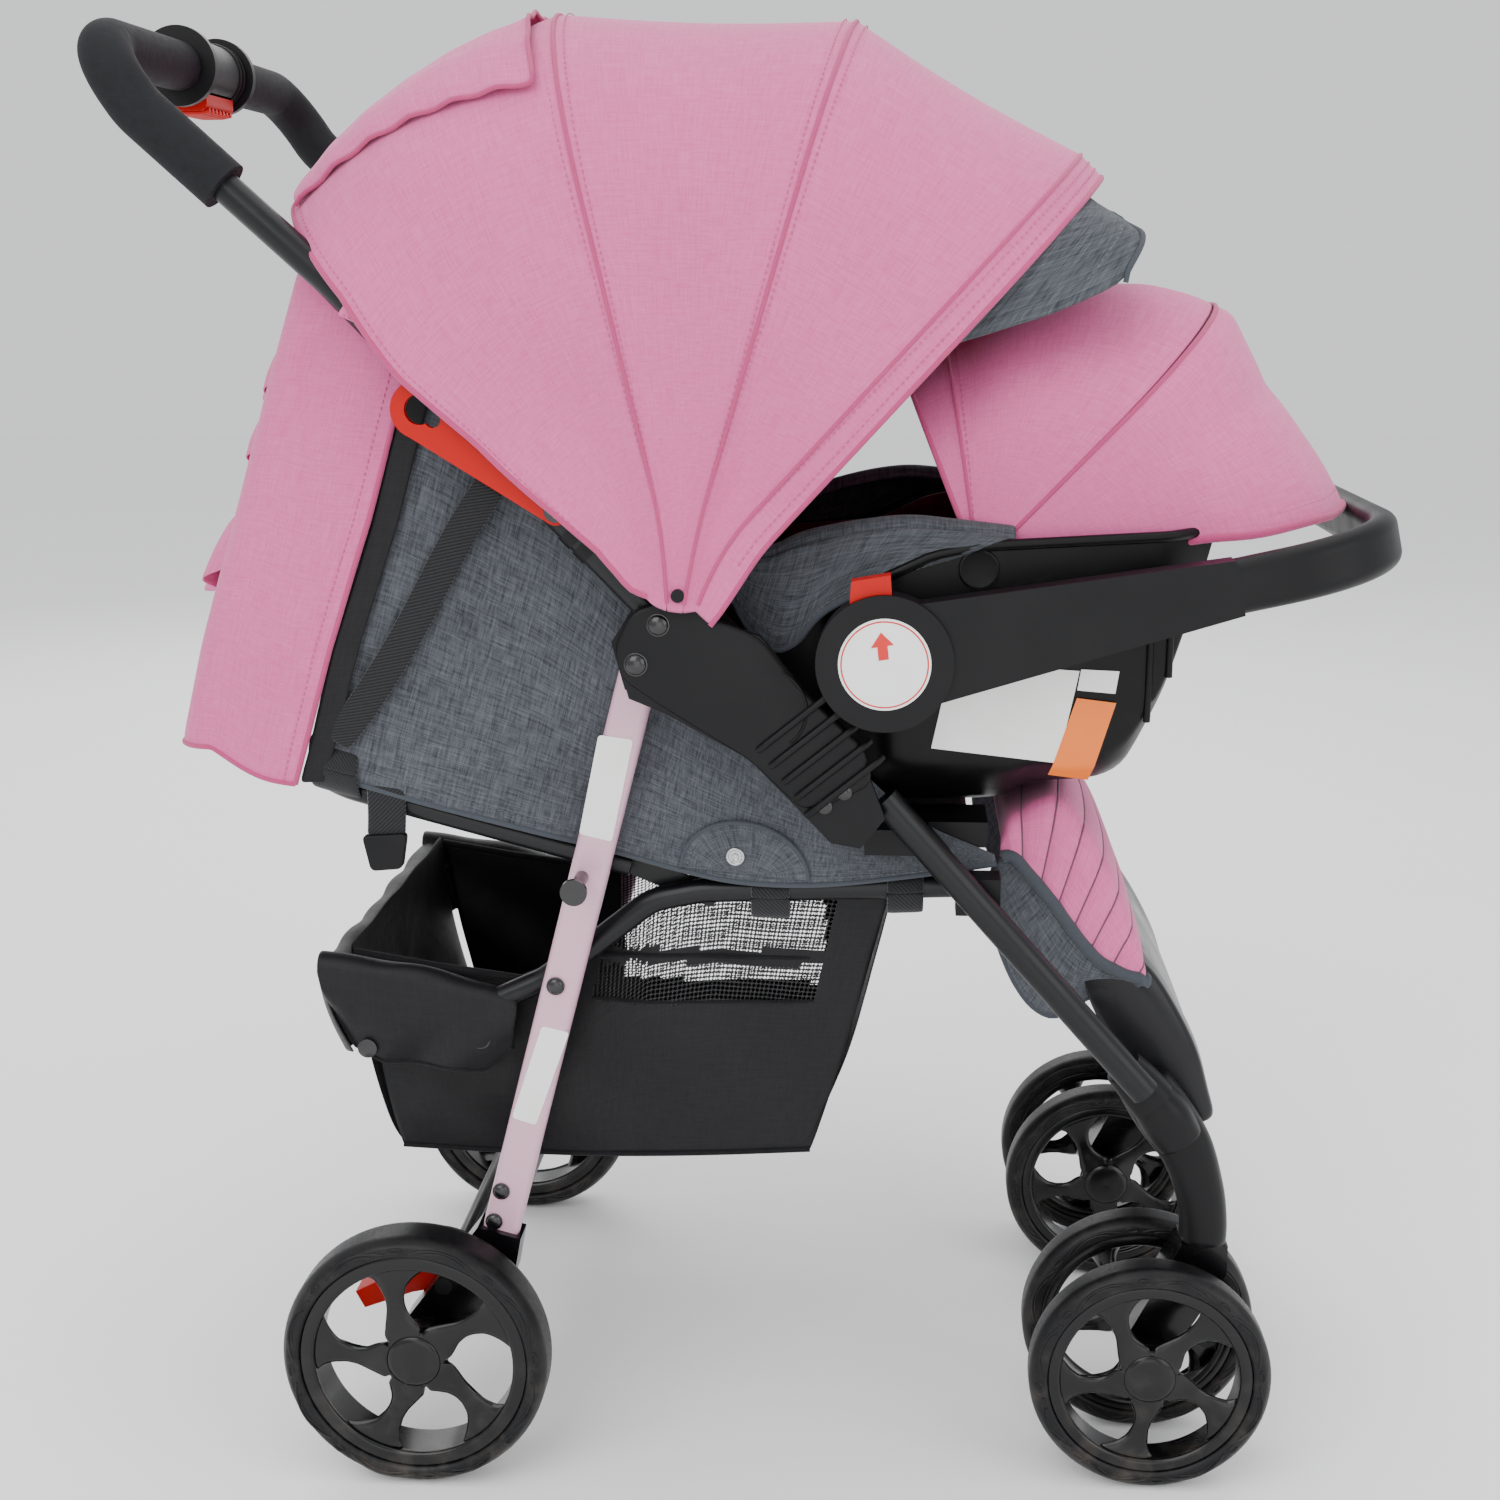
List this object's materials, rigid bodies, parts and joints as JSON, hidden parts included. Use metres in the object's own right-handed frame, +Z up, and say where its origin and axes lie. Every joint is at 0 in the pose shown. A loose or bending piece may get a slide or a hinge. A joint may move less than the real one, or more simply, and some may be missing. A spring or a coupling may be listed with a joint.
{
  "type": "baby stroller with infant carrier",
  "caption": "Folding baby stroller with pink hooped canopy, black tube frame, twin front casters, storage basket and a hooded infant carrier on top.",
  "frame": {"origin": "middle of the bounding box at floor level", "axes": "+X forward to the casters, +Y to the stroller's left, +Z up; mirror symmetric about the XZ plane except the storage latch and its stud"},
  "size_m": [0.8062, 0.464, 0.9495],
  "materials": {
    "black_tube": "satin powder coat",
    "pink_tube": "gloss paint",
    "black_plastic": "fine grain",
    "gloss_black": "polished",
    "red_plastic": "moulded",
    "foam": "soft foam",
    "tyre": "moulded tread",
    "pink_cloth": "woven melange",
    "grey_cloth": "heather weave",
    "black_cloth": "ripstop",
    "rivet_steel": "blackened",
    "shell_plastic": "smooth",
    "white_label": "printed blank label",
    "burgundy_cloth": "plain weave",
    "mesh_cloth": "open mesh",
    "webbing": "woven webbing",
    "snap_metal": "polished",
    "chrome_pin": "plain"
  },
  "bodies": {
    "frame": {"front_legs": "black_tube", "junction_housings": "black_plastic", "caster_sockets": "black_plastic", "footrest": "gloss_black", "footrest_bar": "black_tube", "seat_frame_tube": "black_tube", "seat_brackets": "black_plastic", "seat_cushion": "grey_cloth", "seat_side_panels": "grey_cloth", "head_curtain": "pink_cloth", "basket": "black_cloth", "carrier_cradles": "black_plastic", "frame_rivets": "rivet_steel", "recline_pins": "chrome_pin", "canopy_rear_panel": "pink_cloth", "canopy_bow_rear": "black_plastic"},
    "handle": {"handle_tube": "black_tube", "foam_grip_right": "foam", "foam_grip_left": "foam", "handle_grip_hub": "gloss_black", "tube_clips": "black_plastic", "latch_rivet": "rivet_steel"},
    "latch": {"storage_latch": "red_plastic"},
    "trigger": {"fold_trigger": "red_plastic"},
    "rear_frame": {"rear_legs": "pink_tube", "axle_brackets": "black_plastic", "rear_crossbar": "black_tube", "leg_stud": "rivet_steel", "leg_rivets": "rivet_steel"},
    "brake": {"brake_bar": "black_tube", "brake_pedals": "red_plastic"},
    "canopy_mid": {"canopy_bow_mid": "black_plastic", "canopy_mid_panel": "pink_cloth"},
    "canopy_front": {"canopy_bow_front": "black_plastic", "canopy_front_panel": "pink_cloth", "canopy_visor": "grey_cloth"},
    "seat_back": {"backrest_tube": "black_tube", "backrest_pad": "grey_cloth"},
    "leg_flap": {"leg_rest": "pink_cloth"},
    "carrier": {"carrier_shell": "shell_plastic", "carrier_liner": "grey_cloth", "hood_rear": "pink_cloth"},
    "hood": {"hood_front": "pink_cloth"},
    "bail": {"carry_handle": "black_plastic"},
    "buttons": {"handle_buttons": "red_plastic"},
    "rear_wheel_right": {"rear_tyre_right": "tyre", "rear_rim_right": "black_plastic"},
    "caster_right": {"caster_fork_right": "black_plastic"},
    "front_wheel_right_outer": {"front_tyre_right_outer": "tyre", "front_rim_right_outer": "black_plastic"},
    "front_wheel_right_inner": {"front_tyre_right_inner": "tyre", "front_rim_right_inner": "black_plastic"},
    "rear_wheel_left": {"rear_tyre_left": "tyre", "rear_rim_left": "black_plastic"},
    "caster_left": {"caster_fork_left": "black_plastic"},
    "front_wheel_left_outer": {"front_tyre_left_outer": "tyre", "front_rim_left_outer": "black_plastic"},
    "front_wheel_left_inner": {"front_tyre_left_inner": "tyre", "front_rim_left_inner": "black_plastic"}
  },
  "joints": [
    {"name": "handle_fold", "type": "hinge", "parent": "frame", "child": "handle", "pos_m": [-0.04561, 0, 0.582], "axis": [0, -1, 0], "range_deg": [0, 117]},
    {"name": "rear_leg_fold", "type": "hinge", "parent": "frame", "child": "rear_frame", "pos_m": [-0.05961, 0, 0.5576], "axis": [0, -1, 0], "range_deg": [0, 23.4]},
    {"name": "latch_turn", "type": "hinge", "parent": "handle", "child": "latch", "pos_m": [-0.10681, -0.201, 0.6505], "axis": [0, -1, 0], "range_deg": [0, 32]},
    {"name": "trigger_squeeze", "type": "slide", "parent": "handle", "child": "trigger", "axis": [0, 0, 1], "range_m": [0, 0.003], "stiffness_N_per_m": 500},
    {"name": "brake_press", "type": "hinge", "parent": "rear_frame", "child": "brake", "pos_m": [-0.20261, 0, 0.123], "axis": [0, 1, 0], "range_deg": [-18, 0]},
    {"name": "canopy_mid_fold", "type": "hinge", "parent": "frame", "child": "canopy_mid", "pos_m": [-0.03261, 0, 0.601], "axis": [0, -1, 0], "range_deg": [0, 26], "deforming": ["canopy_mid_panel"]},
    {"name": "canopy_front_fold", "type": "hinge", "parent": "canopy_mid", "child": "canopy_front", "pos_m": [-0.03261, 0, 0.601], "axis": [0, -1, 0], "range_deg": [0, 22], "deforming": ["canopy_front_panel"]},
    {"name": "seat_recline", "type": "hinge", "parent": "frame", "child": "seat_back", "pos_m": [-0.02361, 0, 0.391], "axis": [0, 1, 0], "range_deg": [0, 22]},
    {"name": "leg_rest_lift", "type": "hinge", "parent": "frame", "child": "leg_flap", "pos_m": [0.16939, 0, 0.42], "axis": [0, -1, 0], "range_deg": [0, 20]},
    {"name": "carrier_lift", "type": "slide", "parent": "frame", "child": "carrier", "axis": [0.9397, 0, 0.342], "range_m": [0, 0.3]},
    {"name": "hood_fold", "type": "hinge", "parent": "carrier", "child": "hood", "pos_m": [0.14739, 0, 0.614], "axis": [0, 1, 0], "range_deg": [0, 28]},
    {"name": "carry_handle_turn", "type": "hinge", "parent": "carrier", "child": "bail", "pos_m": [0.09139, 0, 0.5635], "axis": [0, -1, 0], "range_deg": [0, 44]},
    {"name": "button_press", "type": "slide", "parent": "bail", "child": "buttons", "axis": [0, 0, -1], "range_m": [0, 0.004], "stiffness_N_per_m": 400},
    {"name": "rear_wheel_right_spin", "type": "hinge", "parent": "rear_frame", "child": "rear_wheel_right", "pos_m": [-0.21531, -0.2042, 0.0889], "axis": [0, 1, 0], "continuous": true},
    {"name": "caster_right_swivel", "type": "hinge", "parent": "frame", "child": "caster_right", "pos_m": [0.30639, -0.1458, 0.18], "axis": [0, 0, 1], "continuous": true},
    {"name": "front_wheel_right_outer_spin", "type": "hinge", "parent": "caster_right", "child": "front_wheel_right_outer", "pos_m": [0.26989, -0.1825, 0.0791], "axis": [0, 1, 0], "continuous": true},
    {"name": "front_wheel_right_inner_spin", "type": "hinge", "parent": "caster_right", "child": "front_wheel_right_inner", "pos_m": [0.26989, -0.1091, 0.0791], "axis": [0, 1, 0], "continuous": true},
    {"name": "rear_wheel_left_spin", "type": "hinge", "parent": "rear_frame", "child": "rear_wheel_left", "pos_m": [-0.21531, 0.2042, 0.0889], "axis": [0, 1, 0], "continuous": true},
    {"name": "caster_left_swivel", "type": "hinge", "parent": "frame", "child": "caster_left", "pos_m": [0.30639, 0.1458, 0.18], "axis": [0, 0, 1], "continuous": true},
    {"name": "front_wheel_left_outer_spin", "type": "hinge", "parent": "caster_left", "child": "front_wheel_left_outer", "pos_m": [0.26989, 0.1825, 0.0791], "axis": [0, 1, 0], "continuous": true},
    {"name": "front_wheel_left_inner_spin", "type": "hinge", "parent": "caster_left", "child": "front_wheel_left_inner", "pos_m": [0.26989, 0.1091, 0.0791], "axis": [0, 1, 0], "continuous": true}
  ],
  "couplings": [
    {"joint": "rear_leg_fold", "follows": "handle_fold", "ratio": 0.2},
    {"joint": "canopy_front_fold", "follows": "canopy_mid_fold", "ratio": 0.84}
  ]
}
